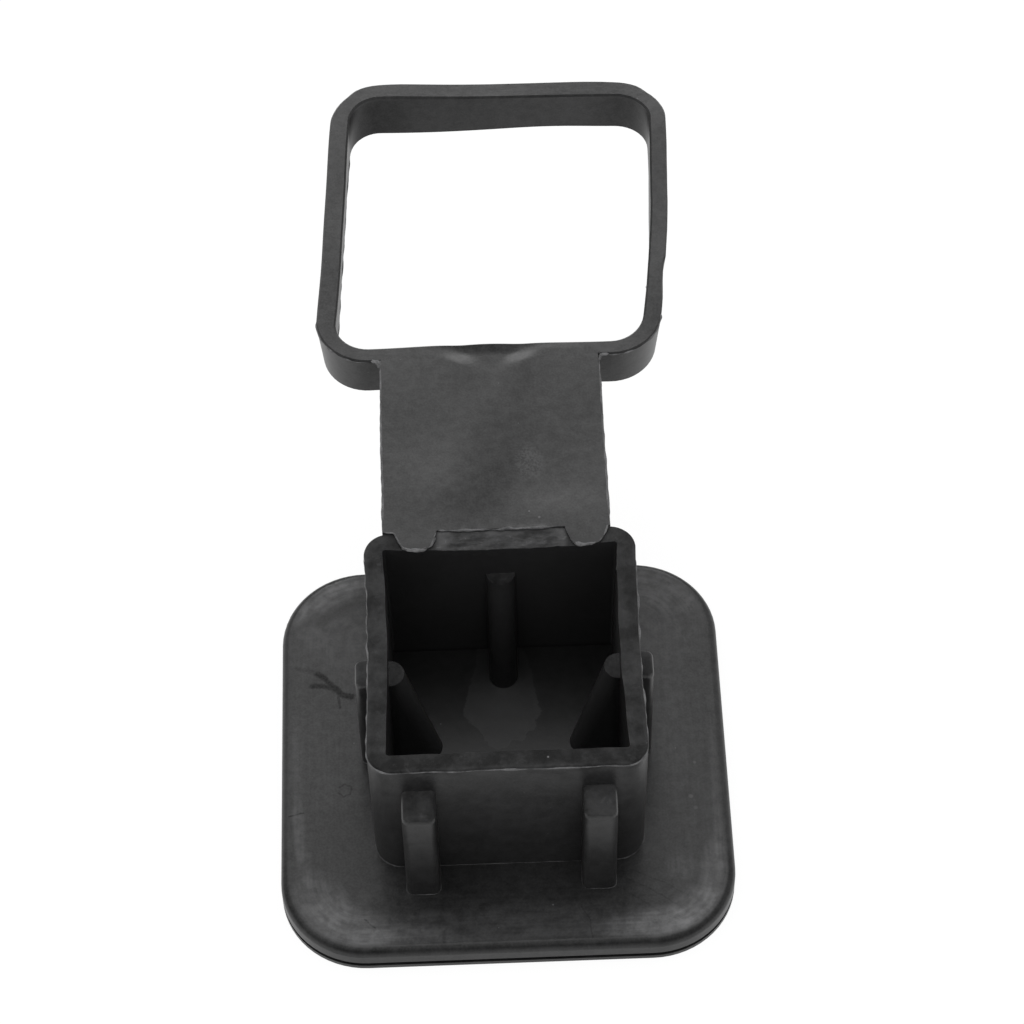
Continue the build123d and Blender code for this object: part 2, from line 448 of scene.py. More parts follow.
def speckMask(tree, place):
    # The specks that the object really has, and the sown ones in some of the cells
    hits = []
    for centre, radius, strength in paleSpecks:
        away = vectorCalc(tree, "DISTANCE", place, centre)
        hits.append(fade(tree, away, radius, radius * 0.4, 0.0, strength))
    cells = tree.nodes.new("ShaderNodeTexVoronoi")
    joinInput(tree, place, cells.inputs["Vector"])
    sown = sownSpecks
    cells.inputs["Scale"].default_value = sown["cells"]
    spots = fade(tree, cells.outputs["Distance"], sown["reach"], sown["core"])
    hits.append(times(tree, spots, fade(tree, cells.outputs["Color"], *sown["chosen"]), sown["strength"]))
    return total(tree, hits, "MAXIMUM")


def plateInset(tree, x, y):
    # How far a place lies inside the plate's outline, in millimetres: a square with round corners
    middle = cover["plateHalf"] - cover["plateCorner"]
    qx = minus(tree, calc(tree, "ABSOLUTE", x), middle)
    qy = minus(tree, calc(tree, "ABSOLUTE", y), middle)
    outX = calc(tree, "MAXIMUM", qx, 0.0)
    outY = calc(tree, "MAXIMUM", qy, 0.0)
    out = calc(tree, "SQRT", plus(tree, times(tree, outX, outX), times(tree, outY, outY)))
    inner = calc(tree, "MINIMUM", calc(tree, "MAXIMUM", qx, qy), 0.0)
    return minus(tree, cover["plateCorner"], plus(tree, out, inner))


def bumps(tree, look, grain, mottle):
    fine = times(tree, grain, look["grainHeight"])
    return plus(tree, fine, times(tree, mottle, look["mottleHeight"]))


def makeRubber():
    look = rubberLook
    material, tree, place = startMaterial("mouldedRubber")
    x, y, z = splitVector(tree, place)
    clouds = scatter(tree, place, 0.075, 3.0)
    mottle = scatter(tree, place, 0.55, 3.0, 0.55)
    grain = scatter(tree, place, 2.6, 1.0, 0.5)

    # The plate's upper face: pale clouds that follow its corners, partly handling marks and partly painted
    # reflection, and rubbed lines
    onPlate = between(tree, z, 3.2, 4.8, 5.7, 6.0)
    inset = plateInset(tree, x, y)
    contour = tree.nodes.new("ShaderNodeCombineXYZ")
    for value, scale, socket in zip((inset, x, y), (1.5, 0.09, 0.09), contour.inputs):
        joinInput(tree, times(tree, value, scale), socket)
    streaks = scatter(tree, contour.outputs["Vector"], 1.0, 4.0, 0.6)
    broken = plus(tree, fade(tree, mottle, -0.9, 0.9, 0.70, 1.20), times(tree, streaks, look["streakShare"]))
    # Pale clouds: partly marks, partly painted reflection
    markAndReflectionTone = times(tree, ellipses(tree, x, y, plateMarksAndReflections), broken, fade(tree, inset, 0.7, 2.2))
    streakTone = times(tree, streaks, fade(tree, inset, 15.0, 11.0), look["streakTone"])
    plateTone = times(tree, plus(tree, markAndReflectionTone, streakTone), onPlate)
    flat = vectorCalc(tree, "MULTIPLY", place, (1, 1, 0))
    wobble = vectorCalc(tree, "SCALE", (1, 0.7, 0), scale=times(tree, mottle, look["scuffWobble"]))
    wobbly = vectorCalc(tree, "ADD", flat, wobble)
    rubbed = []
    for points, width, strength in plateStrokes:
        parts = [stroke(tree, wobbly, points[i], points[i + 1], width) for i in range(len(points) - 1)]
        rubbed.append(times(tree, total(tree, parts, "MAXIMUM"), strength))
    scuff = times(tree, total(tree, rubbed, "MAXIMUM"), onPlate, fade(tree, grain, -1.0, 0.6, 1.0, 0.85))
    frontEdge = times(tree, between(tree, inset, 0.25, 0.55, 1.00, 1.50), fade(tree, z, 3.6, 4.2),
                      fade(tree, y, -16.0, -27.0))

    # Strap and ring
    onArm = times(tree, fade(tree, z, 37.4, 37.8), fade(tree, y, 24.0, 26.0))
    onRing = times(tree, fade(tree, y, 63.0, 70.0), onArm)
    smudge = times(tree, ellipse(tree, x, y, *look["smudge"]), onArm, fade(tree, grain, -0.6, 0.8, 0.3, 1.0))
    # A painted dark reflection on the strap at the ring's hole: darker and duller there
    darkReflection = times(tree, ellipse(tree, x, y, *look["darkReflection"]), onArm)
    # The ends of the ring's far wall: a painted dark reflection, darker and duller there
    farWall = times(tree, fade(tree, y, 112.0, 119.0), fade(tree, z, 37.75, 37.2))
    darkReflectedRingEnds = times(tree, farWall, fade(tree, distance(tree, x, 3.5), 13.0, 24.0))

    grey = total(tree, [
        times(tree, clouds, look["clouds"]),
        times(tree, mottle, look["mottle"]),
        times(tree, grain, look["grain"]),
        plateTone,
        times(tree, frontEdge, look["edgeTone"]),
        times(tree, darkReflection, look["darkReflectionTone"]),
        times(tree, smudge, look["smudgeTone"]),
        times(tree, darkReflectedRingEnds, look["ringEndReflectionTone"]),
        times(tree, scuff, look["scuffTone"]),
        look["clean"],
    ])
    specks = times(tree, speckMask(tree, place), look["speckTone"])
    grey = plus(tree, calc(tree, "MAXIMUM", grey, look["darkest"]), specks)
    roughness = total(tree, [
        times(tree, clouds, look["roughClouds"]),
        times(tree, mottle, look["roughMottle"]),
        times(tree, grain, look["roughGrain"]),
        times(tree, scuff, look["scuffRoughness"]),
    ])
    roughness = calc(tree, "ADD", roughness, look["roughness"], True)
    dullness = total(tree, [
        times(tree, scuff, look["scuffDullness"]),
        times(tree, darkReflectedRingEnds, look["ringEndReflectionDullness"]),
        times(tree, ellipses(tree, x, y, strapClouds), onArm),
        times(tree, darkReflection, look["darkReflectionDullness"]),
        times(tree, onRing, look["ringDullness"]),
        times(tree, frontEdge, look["edgeDullness"]),
    ])
    gloss = total(tree, [
        minus(tree, 1.0, dullness),
        times(tree, mottle, look["glossMottle"]),
        times(tree, grain, look["glossGrain"]),
    ])
    height = bumps(tree, look, grain, mottle)
    finishMaterial(tree, grey, roughness, times(tree, gloss, look["specular"]), height)
    return material


hollowLook = {
    "clean": 0.0215,
    "darkest": 0.002,
    "clouds": 0.0012,
    "mottle": 0.0014,
    "grain": 0.0008,
    "floorBackShade": -0.0148,     # painted shade: the floor darkens towards the back wall
    # painted shade on the back wall
    "backWallShade": -0.0035,
    "sides": 0.0110,          # the side walls are paler at the back and darker in front
    "sidesFront": -0.0130,
    "noseFootShade": -0.0100,      # painted shade: the back gusset darkens downwards
    "roughness": 0.315,       # stays above 0.285, as the outside does
    "roughMottle": 0.015,
    "roughGrain": 0.010,
    "patchRoughness": 0.08,
    "specular": 0.42,
    "footSpecular": 0.30,     # the floor next to the back wall
    "grainHeight": 0.0010 * mm,
    "mottleHeight": 0.004 * mm,
    "speckTone": 0.12,
    "paintedLightPatch": 0.0120,          # added grey of the petal-shaped patch of painted light on the floor
    "paintedLightPatchEdge": 0.25,        # its edge is paler by this share
    "patchX": 0.1,
    "patchMiddle": 7.9,       # where the patch is widest, along y
    "patchSide": 6.85,
    "patchFront": 7.6,
    "patchTaper": 0.219,
    "patchPower": 1.5,
    "wavy": 0.45,             # how far its sides and its front edge wander, in millimetres
    "scallop": 1.1,
}


def makeHollowRubber():
    # Inside of the plug, off the polished core, with painted shade that darkens it towards the back and down
    # the back gusset's nose, and a petal-shaped patch of painted light on the floor
    look = hollowLook
    material, tree, place = startMaterial("hollowRubber")
    x, y, z = splitVector(tree, place)
    clouds = scatter(tree, place, 0.10, 3.0)
    mottle = scatter(tree, place, 0.55, 3.0, 0.55)
    grain = scatter(tree, place, 2.6, 1.0, 0.5)
    wavy = scatter(tree, place, 0.50, 3.0, 0.6)
    scallops = scatter(tree, place, 0.45, 1.0)
    onFloor = fade(tree, z, 6.9, 6.4)
    offFloor = minus(tree, 1.0, onFloor)

    # The patch of painted light: width over a half width that tapers to the back, and depth over its reach,
    # both to a power
    behind = calc(tree, "MAXIMUM", minus(tree, y, look["patchMiddle"]), 0.0)
    halfWidth = minus(tree, look["patchSide"], times(tree, behind, look["patchTaper"]))
    halfWidth = calc(tree, "MAXIMUM", halfWidth, 1.0)
    sideways = plus(tree, minus(tree, x, look["patchX"]), times(tree, wavy, look["wavy"]))
    wandering = minus(tree, y, times(tree, scallops, look["scallop"]))
    ahead = calc(tree, "MAXIMUM", minus(tree, look["patchMiddle"], wandering), 0.0)
    u = calc(tree, "DIVIDE", calc(tree, "ABSOLUTE", sideways), halfWidth)
    u = calc(tree, "POWER", u, look["patchPower"])
    v = calc(tree, "POWER", calc(tree, "DIVIDE", ahead, look["patchFront"]), look["patchPower"])
    reach = total(tree, [u, v, times(tree, mottle, 0.05)])
    paintedLightPatch = times(tree, fade(tree, reach, 1.04, 0.97), onFloor, fade(tree, y, 19.0, 7.0, 0.35, 1.0))
    paintedLightPatchEdge = times(tree, paintedLightPatch, fade(tree, reach, 0.62, 1.0), look["paintedLightPatchEdge"])

    # Walls, floor and the back gusset's nose, with painted shade on the floor and back wall towards the back
    # and on the nose downwards
    across = distance(tree, x, cover["plugMiddle"][0])
    along = distance(tree, y, cover["plugMiddle"][1])
    onSide = times(tree, fade(tree, across, 18.0, 18.8), fade(tree, along, 19.9, 19.6), offFloor)
    onNose = times(tree, fade(tree, y, 8.0, 12.0), fade(tree, across, 3.2, 2.6), offFloor)
    atFoot = times(tree, fade(tree, y, 9.0, 18.0), onFloor)

    grey = total(tree, [
        times(tree, clouds, look["clouds"]),
        times(tree, mottle, look["mottle"]),
        times(tree, grain, look["grain"]),
        times(tree, plus(tree, paintedLightPatch, paintedLightPatchEdge), look["paintedLightPatch"]),
        times(tree, fade(tree, y, -9.0, 17.5), onFloor, look["floorBackShade"]),
        times(tree, fade(tree, y, 16.0, 20.0), fade(tree, onFloor, 0.0, 1.0, look["backWallShade"], 0.0)),
        times(tree, onSide, fade(tree, y, -4.0, 4.0, look["sidesFront"], look["sides"])),
        times(tree, onNose, fade(tree, z, 28.0, 10.0, 0.0, look["noseFootShade"])),
        look["clean"],
    ])
    specks = times(tree, speckMask(tree, place), look["speckTone"])
    grey = plus(tree, calc(tree, "MAXIMUM", grey, look["darkest"]), specks)
    roughness = total(tree, [
        times(tree, mottle, look["roughMottle"]),
        times(tree, grain, look["roughGrain"]),
        times(tree, paintedLightPatch, look["patchRoughness"]),
    ])
    roughness = calc(tree, "ADD", roughness, look["roughness"], True)
    specular = fade(tree, atFoot, 0.0, 1.0, look["specular"], look["footSpecular"])
    finishMaterial(tree, grey, roughness, specular, bumps(tree, look, grain, mottle))
    return material


trimLook = {
    "base": 0.0150,
    "darkest": 0.003,
    "clouds": 0.0100,
    "mottle": 0.0050,
    "grain": 0.0020,
    "front": -0.0095,        # the rim's front is darker
    "ribEnds": 0.0060,
    # less grey on the gusset tops inside the hollow: painted shade
    "shadedGussetTops": 0.0010,
    "edge": 0.011,           # the rim is paler along its outer edge
    "torn": 0.025,           # the face between the lobes, and its ends and back edge
    "tornEnds": 0.022,
    "tornBack": 0.016,
    "fleck": 0.06,
    "plainFleck": 0.18,      # share of the flecks that is left where nothing is torn
    "roughness": 0.60,
    "roughMottle": 0.06,
    "specular": 0.24,
    "glossClouds": 0.16,
    "grainHeight": 0.003 * mm,
    "mottleHeight": 0.014 * mm,
    "speckTone": 0.16,
}


def makeTrimmedRubber():
    # The rim and the ribs' ends, where the moulding was trimmed: dull, uneven and torn between the lobes
    look = trimLook
    material, tree, place = startMaterial("trimmedRubber")
    x, y, z = splitVector(tree, place)
    clouds = scatter(tree, place, 0.24, 4.0, 0.6)
    mottle = scatter(tree, place, 0.9, 4.0, 0.6)
    lumps = scatter(tree, stretched(tree, place, (0.6, 1.6, 1.0)), 0.45, 3.0, 0.6)
    grain = scatter(tree, place, 3.2, 3.0, 0.6)

    fromMiddle = distance(tree, x, cover["backMiddle"])
    torn = times(tree, fade(tree, y, 20.0, 21.2), fade(tree, fromMiddle, 11.6, 10.4))
    flecks = times(tree, fade(tree, mottle, 0.25, 0.9), fade(tree, lumps, 0.1, 0.8))
    plainFleck = look["plainFleck"] * look["fleck"]
    fleckTone = times(tree, flecks, fade(tree, torn, 0.0, 1.0, plainFleck, look["fleck"]))
    across = distance(tree, x, cover["plugMiddle"][0])
    along = distance(tree, y, cover["plugMiddle"][1])
    within = fade(tree, calc(tree, "MAXIMUM", across, along), 21.5, 21.0)
    # The ends inside the hollow get less grey than the ribs' ends outside: painted shade
    endTone = fade(tree, within, 0.0, 1.0, look["ribEnds"], look["shadedGussetTops"])
    outerEdge = calc(tree, "MAXIMUM", fade(tree, across, 22.3, 23.3), fade(tree, y, -21.8, -22.7))

    grey = total(tree, [
        times(tree, clouds, look["clouds"]),
        times(tree, mottle, look["mottle"]),
        times(tree, grain, look["grain"]),
        times(tree, torn, fade(tree, lumps, -0.9, 0.7, 0.0, look["torn"])),
        times(tree, torn, fade(tree, fromMiddle, 7.0, 10.2, 0.0, look["tornEnds"])),
        times(tree, torn, fade(tree, y, 23.2, 24.5), look["tornBack"]),
        times(tree, fade(tree, y, -18.5, -19.5), fade(tree, z, 35.0, 36.0), look["front"]),
        times(tree, fade(tree, z, 33.0, 32.0), endTone),
        times(tree, outerEdge, fade(tree, z, 36.0, 37.0, 0.0, look["edge"])),
        look["base"],
    ])
    specks = times(tree, speckMask(tree, place), look["speckTone"])
    grey = plus(tree, calc(tree, "MAXIMUM", grey, look["darkest"]), fleckTone, specks)
    roughness = calc(tree, "ADD", times(tree, mottle, look["roughMottle"]), look["roughness"], True)
    gloss = plus(tree, times(tree, clouds, look["glossClouds"]), 1.0)
    height = bumps(tree, look, grain, mottle)
    finishMaterial(tree, grey, roughness, times(tree, gloss, look["specular"]), height)
    return material


flashLook = {
    "high": 0.088,        # grey at the rim and strap, and the lower one down at the plate, darker there as painted shade in the creases at the walls' feet
    "low": 0.045,
    "darkest": 0.018,
    "lumps": 0.55,
    "grain": 0.15,
    "roughness": 0.45,
    "roughGrain": 0.08,
    "specular": 0.4,
    "grainHeight": 0.015 * mm,
}


def makeFlashRubber():
    # Thin flash left at the mould's joints, paler up at the rim and strap and darker down at the plate, where
    # the darkening is painted shade in the creases at the walls' feet
    look = flashLook
    material, tree, place = startMaterial("flashRubber")
    lumps = scatter(tree, place, 0.5, 4.0, 0.65)
    grain = scatter(tree, place, 3.5, 3.0, 0.6)
    # Darker with less height: painted shade in the creases at the walls' feet
    tone = fade(tree, splitVector(tree, place)[2], 8.0, 30.0, look["low"], look["high"])
    share = plus(tree, times(tree, lumps, look["lumps"]), times(tree, grain, look["grain"]), 1.0)
    grey = calc(tree, "MAXIMUM", times(tree, share, tone), look["darkest"])
    roughness = calc(tree, "ADD", times(tree, grain, look["roughGrain"]), look["roughness"], True)
    finishMaterial(tree, grey, roughness, look["specular"], times(tree, grain, look["grainHeight"]))
    return material


rubber = makeRubber()
hollow = makeHollowRubber()
trimmed = makeTrimmedRubber()
flashRubber = makeFlashRubber()
cadCover.data.materials.clear()
cadCover.data.materials.append(rubber)
print("rubber ready")


# The skin: the moulding's own surface, merged, cut finely where it wanders, and settled

skinLook = {
    "weld": 0.002,
    "cuts": [             # lowest corner, highest corner, spacing of the cuts
        ((-45.0, 25.2, 27.0), (45.0, 130.0, 39.0), 2.0),
        ((-14.0, 57.5, 37.0), (16.0, 66.0, 39.0), 0.4),
        ((-26.0, -26.0, 35.0), (27.0, 27.0, 39.0), 0.9),
        ((-12.0, 20.0, 37.0), (13.0, 25.0, 37.9), 0.4),
    ],
    "hollowHalf": (20.9, 21.3),   # half size of the hollow along x and y
    "facesUp": 0.6,               # least upward share of a trimmed end's normal
    "rimFacesUp": 0.35,
}


def cutBox(mesh, low, high, step):
    # Splits the faces that reach into a box along evenly spaced planes; neighbours keep the shared points
    low = Vector(low) * mm
    high = Vector(high) * mm
    for axis in range(3):
        normal = Vector((axis == 0, axis == 1, axis == 2))
        faces = []
        for face in mesh.faces:
            lowest = [min(v.co[k] for v in face.verts) for k in range(3)]
            highest = [max(v.co[k] for v in face.verts) for k in range(3)]
            if all(highest[k] >= low[k] and lowest[k] <= high[k] for k in range(3)):
                faces.append(face)
        geom = list({e for f in faces for e in f.edges}) + list({v for f in faces for v in f.verts}) + faces
        for place in np.arange(low[axis] + step * mm / 2, high[axis], step * mm):
            at = normal * float(place)
            geom = bmesh.ops.bisect_plane(mesh, geom=geom, dist=1e-7, plane_co=at, plane_no=normal)["geom"]


def chooseFinish(centres, normals):
    # The finish of each face by its centre and normal: 0 moulded, 1 hollow, 2 trimmed
    look = skinLook
    x, y, z = centres[:, 0], centres[:, 1], centres[:, 2]
    up = normals[:, 2]
    middle, half = cover["plugMiddle"], look["hollowHalf"]
    onRim = (z > 37.3) & (z < 37.9) & (y < 24.8) & (up > look["rimFacesUp"])
    within = (np.abs(x - middle[0]) < half[0]) & (np.abs(y - middle[1]) < half[1]) & (z > 6.0) & ~onRim
    ribEnd = (z > 29.0) & (z < 31.7) & (up > look["facesUp"]) & (y < 5.0) & ~within
    gussetTop = within & (z > 30.0) & (z < 30.8) & (up > look["facesUp"])
    return np.where(onRim | gussetTop | ribEnd, 2, np.where(within, 1, 0)).astype(np.int32)


def makeSkin():
    look = skinLook
    source = cadCover.data.copy()
    normals = readArray(source.corner_normals, "vector")
    source.attributes.new("kept", "FLOAT_VECTOR", "CORNER").data.foreach_set("vector", normals.ravel())
    surface = bmesh.new()
    surface.from_mesh(source)
    bpy.data.meshes.remove(source)
    bmesh.ops.remove_doubles(surface, verts=surface.verts, dist=look["weld"] * mm)
    for low, high, step in look["cuts"]:
        cutBox(surface, low, high, step)
    mesh = bpy.data.meshes.new("coverSkin")
    surface.to_mesh(mesh)
    surface.free()

    for finish in (rubber, hollow, trimmed):
        mesh.materials.append(finish)
    chosen = chooseFinish(readArray(mesh.polygons, "center") / mm, readArray(mesh.polygons, "normal"))
    mesh.polygons.foreach_set("material_index", chosen)

    points = readArray(mesh.vertices, "co") / mm
    normals = readArray(mesh.attributes["kept"].data, "vector")
    mesh.attributes.remove(mesh.attributes["kept"])
    corner = np.zeros(len(mesh.loops), np.int32)
    mesh.loops.foreach_get("vertex_index", corner)
    normals = settleNormals(points[corner], normals)
    normals /= np.linalg.norm(normals, axis=1)[:, None]
    mesh.vertices.foreach_set("co", (settle(points) * mm).ravel())
    mesh.polygons.foreach_set("use_smooth", np.ones(len(mesh.polygons), bool))
    mesh.update()
    mesh.normals_split_custom_set(normals.tolist())
    skin = addObject("coverSkin", mesh)
    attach(skin, "root")
    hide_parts("receiver_cover")
    return skin


skin = makeSkin()
print("skin ready:", len(skin.data.polygons), "faces")


# Flash and trim lines: the thin uneven ridges that the mould's joints leave on its edges

beadLook = {
    "spacing": 0.35,
    "sides": 8,
    "lengths": (3.4, 1.4),      # of the coarse and the fine waves in its size
    "fine": 0.4,                # share of the fine waves
    "plump": 0.78,              # its mean size, and how far that wanders
    "uneven": 0.55,
    "limits": (0.22, 1.7),
    "sideways": 0.25,           # how far it strays from its path, in half widths
    "tip": 0.06,                # share of an open line over which its end tapers
    "firstSeed": 100,
    "seedStep": 7,
    "ribRound": 1.2,            # radius of the corners at a rib's foot
    "footHeight": 5.52,
}

# The lines that are drawn, seen from above: points x, y
drawn = {
    "leftLobe": [(-19.6, 24.75), (-17.6, 24.75), (-16.85, 22.75), (-16.2, 21.6), (-15.1, 21.08),
                 (-12.7, 21.08), (-11.6, 21.6), (-10.95, 22.75), (-10.2, 24.75)],
    "rightLobe": [(11.8, 24.75), (12.55, 22.75), (13.2, 21.6), (14.3, 21.08), (16.7, 21.08),
                  (17.8, 21.6), (18.45, 22.75), (19.2, 24.75), (19.6, 24.75)],
    "underLeftLobe": [(-16.4, 21.9), (-15.2, 21.1), (-12.6, 21.05), (-11.3, 21.9), (-10.5, 23.6)],
    "underRightLobe": [(12.3, 23.6), (13.1, 21.8), (14.4, 21.1), (16.6, 21.1)],
    "tornBack": [(-10.2, 24.75), (0.65, 24.62), (5.81, 24.7), (11.8, 24.75)],
    "strapLeft": [(-19.50, 26.0), (-19.50, 44.0), (-19.50, 61.0)],
    "strapRight": [(19.50, 25.5), (19.50, 44.0), (19.50, 61.0)],
    "neckLeft": [(-21.2, 62.0), (-20.2, 62.1), (-19.6, 61.6), (-19.4, 60.2)],
    "neckRight": [(21.4, 62.0), (20.3, 62.1), (19.7, 61.7), (19.5, 60.4)],
    "footLeft": [(-22.64, -17.0), (-22.4, -19.3), (-21.23, -21.13), (-19.4, -22.3), (-17.3, -22.54)],
    "footRight": [(23.64, -17.0), (23.4, -19.3), (22.23, -21.13), (20.4, -22.3), (18.3, -22.54)],
    "ringUnderside": [(-27.56, 72.0), (-25.07, 118.4)],
}

# Feet of the four ribs: wall x, y, reach, width, turn in degrees
ribFeet = [
    (-14.5, -22.85, 5.23, 5.86, -90),
    (15.5, -22.85, 5.23, 5.86, -90),
    (-22.35, 0.95, 2.53, 5.46, 180),
    (23.35, 0.95, 2.53, 5.46, 0),
]


def bead(path, width, height, wander, seed):
    # A ridge along a path: an ellipse of half width and half height, whose size wanders along the way.
    # Surface = path + across * cos(turn) * width + upright * sin(turn) * height, over way and turn
    look = beadLook
    path = resample(path, look["spacing"])
    closed = np.allclose(path[0], path[-1])
    if closed:
        path = path[:-1]
    ahead = np.roll(path, -1, axis=0) - np.roll(path, 1, axis=0)
    if not closed:
        ahead[0] = path[1] - path[0]
        ahead[-1] = path[-1] - path[-2]
    ahead /= np.linalg.norm(ahead, axis=1)[:, None]
    across = np.cross(ahead, (0.0, 0.0, 1.0))
    across /= np.maximum(np.linalg.norm(across, axis=1), 0.001)[:, None]
    upright = np.cross(across, ahead)
    coarse, fine = look["lengths"]
    uneven = wander * (waves(path, coarse, seed) + look["fine"] * waves(path, fine, seed + 1))
    size = np.clip(look["plump"] + look["uneven"] * uneven[:, 0], *look["limits"])
    if not closed:
        way = np.linspace(0.0, 1.0, len(path))
        size = size * ease(way, 0.0, look["tip"]) * ease(way, 1.0, 1.0 - look["tip"]) + 0.02
    middle = path + across * (look["sideways"] * width * uneven[:, 1])[:, None]
    turn = np.linspace(0.0, 2 * math.pi, look["sides"], endpoint=False)
    aside = np.cos(turn)[None, :] * (width * size)[:, None]
    upward = np.sin(turn)[None, :] * (height * size)[:, None]
    points = middle[:, None] + across[:, None] * aside[..., None] + upright[:, None] * upward[..., None]
    rows, sides = points.shape[:2]
    row = np.arange(rows if closed else rows - 1)[:, None]
    side = np.arange(sides)[None, :]
    after = (row + 1) % rows
    beside = (side + 1) % sides
    corners = [after * sides + side, after * sides + beside, row * sides + beside, row * sides + side]
    faces = np.stack(corners, axis=-1).reshape(-1, 4).tolist()
    if not closed:
        faces.append(list(range(sides)))
        faces.append([(rows - 1) * sides + k for k in range(sides)][::-1])
    return points.reshape(-1, 3), faces


def edgeAtHeight(height, centre, keep):
    # The cover's own corner line at a height: its points in order of their bearing from a centre
    points = np.unique(np.round(readArray(cadCover.data.vertices, "co") / mm, 3), axis=0)
    points = points[np.abs(points[:, 2] - height) < 0.012]
    points = points[keep(points[:, 0], points[:, 1])]
    bearing = np.arctan2(points[:, 0] - centre[0], -(points[:, 1] - centre[1]))
    return points[np.argsort(bearing)]


def roundedLoop(centre, half, radius, height):
    # Rounded rectangle: four quarter circles joined by straight sides
    turn = np.linspace(0.0, math.pi / 2, 9)
    corners = []
    for k, (sx, sy) in enumerate([(1, 1), (-1, 1), (-1, -1), (1, -1)]):
        bearing = turn + k * math.pi / 2
        corners.append(np.stack([
            centre[0] + sx * (half[0] - radius) + radius * np.cos(bearing),
            centre[1] + sy * (half[1] - radius) + radius * np.sin(bearing),
            np.full(len(turn), height),
        ], axis=1))
    loop = np.concatenate(corners)
    return np.concatenate([loop, loop[:1]])


def ribFoot(x, y, reach, width, turn, height):
    # The U round a rib's foot, from wall to wall round its nose
    half = width / 2
    radius = beadLook["ribRound"]
    bend = np.linspace(0.0, math.pi / 2, 5)
    right = np.stack([reach - radius + radius * np.sin(bend), -half + radius - radius * np.cos(bend)], axis=1)
    left = np.stack([right[::-1, 0], -right[::-1, 1]], axis=1)
    plan = np.concatenate([[[-0.2, -half]], right, left, [[-0.2, half]]])
    c, s = math.cos(math.radians(turn)), math.sin(math.radians(turn))
    return np.stack([x + c * plan[:, 0] - s * plan[:, 1], y + s * plan[:, 0] + c * plan[:, 1],
                     np.full(len(plan), height)], axis=1)


def lift(name, height):
    return [(x, y, height) for x, y in drawn[name]]


def onRimOutside(x, y):
    return (y < 22.5) & (np.abs(x - cover["plugMiddle"][0]) < 24.5)


def onRingOutside(x, y):
    # Near part of the ring's outer edge: beyond a line midway through the band, rounded with its corners
    out = np.maximum(np.maximum(x - 20.6, -22.0 - x), 0.0)
    near = np.maximum(71.2 - y, 0.0)
    return (y > 58.0) & (y < 82.0) & (np.hypot(out, near) > 7.7)


def makeFlash():
    look = beadLook
    foot = look["footHeight"]
    rimOuter = edgeAtHeight(37.35, cover["plugMiddle"], onRimOutside)
    ringNear = edgeAtHeight(37.75, (2.0, 96.0), onRingOutside)
    ringLeft = ringNear[ringNear[:, 0] < -19.8]
    ringRight = ringNear[ringNear[:, 0] > 18.4]
    lines = [  # path, half width, half height, unevenness; the order sets the seeds
        (rimOuter, 0.16, 0.13, 1.0),
        (ringLeft, 0.16, 0.13, 1.0),
        (ringRight, 0.16, 0.13, 1.0),
        (lift("leftLobe", 38.02), 0.16, 0.13, 1.0),
        (lift("rightLobe", 38.02), 0.16, 0.13, 1.0),
        (lift("underLeftLobe", 37.92), 0.48, 0.20, 1.0),
        (lift("underRightLobe", 37.92), 0.40, 0.20, 1.0),
        (lift("tornBack", 38.02), 0.22, 0.22, 1.0),
        (lift("strapLeft", 38.04), 0.27, 0.17, 0.4),
        (lift("strapRight", 38.04), 0.27, 0.17, 0.4),
        (lift("neckLeft", 38.0), 0.58, 0.16, 1.0),
        (lift("neckRight", 38.0), 0.52, 0.16, 1.0),
        (roundedLoop(cover["plugMiddle"], (23.14, 23.49), 4.8, foot), 0.09, 0.07, 1.0),
        (lift("footLeft", 5.54), 0.16, 0.10, 1.0),
        (lift("footRight", 5.54), 0.16, 0.10, 1.0),
        *[(ribFoot(*rib, foot), 0.09, 0.07, 1.0) for rib in ribFeet],
        (lift("ringUnderside", 28.86), 0.09, 0.08, 1.0),  # the dark one, of clean rubber
    ]
    points, faces, start = [], [], 0
    for k, (path, width, height, wander) in enumerate(lines):
        path = settle(resample(np.array(path, float), look["spacing"]))
        spots, quads = bead(path, width, height, wander, look["firstSeed"] + look["seedStep"] * k)
        points.append(spots)
        faces += [[corner + start for corner in quad] for quad in quads]
        start += len(spots)
    clean = np.arange(len(faces)) >= len(faces) - len(quads)
    mesh = bpy.data.meshes.new("flashLines")
    mesh.from_pydata((np.concatenate(points) * mm).tolist(), [], faces)
    mesh.polygons.foreach_set("use_smooth", np.ones(len(mesh.polygons), bool))
    mesh.materials.append(flashRubber)
    mesh.materials.append(rubber)
    mesh.polygons.foreach_set("material_index", clean.astype(np.int32))
    mesh.update()
    piece = addObject("flashLines", mesh)
    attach(piece, "root")
    return piece


flash = makeFlash()
print("flash ready:", len(flash.data.polygons), "faces")


# The stage

stageLook = {
    "size": 6.0,             # metres
    "drop": 0.00005,         # the floor lies just under the cover, so that no two faces share a plane
    "grey": 0.96,
    "glow": 0.90,
    "seen": 1.03,
    "mirrored": 0.68,        # what the rubber's gloss sees of the floor under the cover, and to its sides; the lower strength under the cover is a painted shadow
    "mirroredAside": 0.92,
    "aside": (0.024, 0.060),
}


def choose(tree, mask, inside, outside):
    # One value where the mask is 1, the other where it is 0
    return plus(tree, times(tree, mask, inside), times(tree, minus(tree, 1.0, mask), outside))


